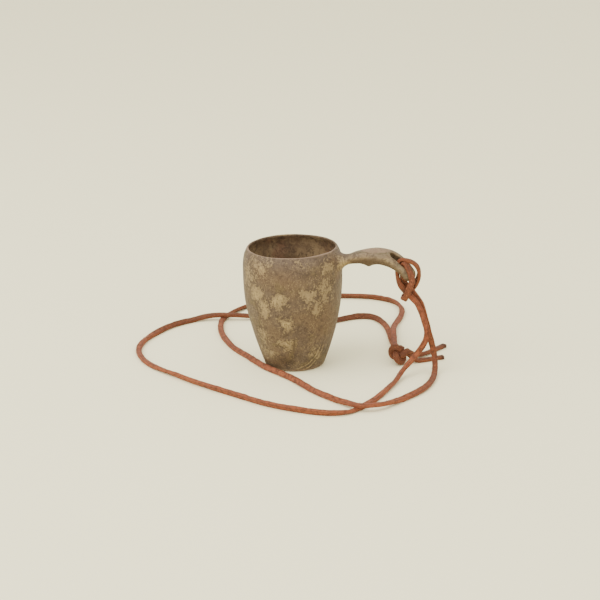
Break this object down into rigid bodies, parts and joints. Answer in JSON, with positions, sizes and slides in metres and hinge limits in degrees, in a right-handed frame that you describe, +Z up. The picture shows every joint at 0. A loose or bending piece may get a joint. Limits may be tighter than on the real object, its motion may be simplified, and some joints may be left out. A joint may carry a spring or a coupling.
{
  "type": "carved wooden drinking cup",
  "caption": "Carved burl drinking cup, a kuksa, with an arched side handle and a long doubled leather lace hitched through the handle and knotted at its ends.",
  "frame": {"origin": "centre of the cup's base, on the surface it stands on", "axes": "+Z up out of the cup's mouth, +X from the bowl towards the end of the handle, +Y to the left of the handle seen from the bowl, which is the side away from the lace's large front loop"},
  "size_m": [0.2554, 0.2874, 0.0979],
  "materials": {
    "burl": "oiled burl wood, mottled, matt to satin",
    "lace": "red-brown suede-faced leather, matt"
  },
  "bodies": {
    "root": {"cup": "burl", "handle_hitch": "lace", "lace_inner": "lace", "lace_outer": "lace", "end_knot": "lace"}
  },
  "joints": []
}
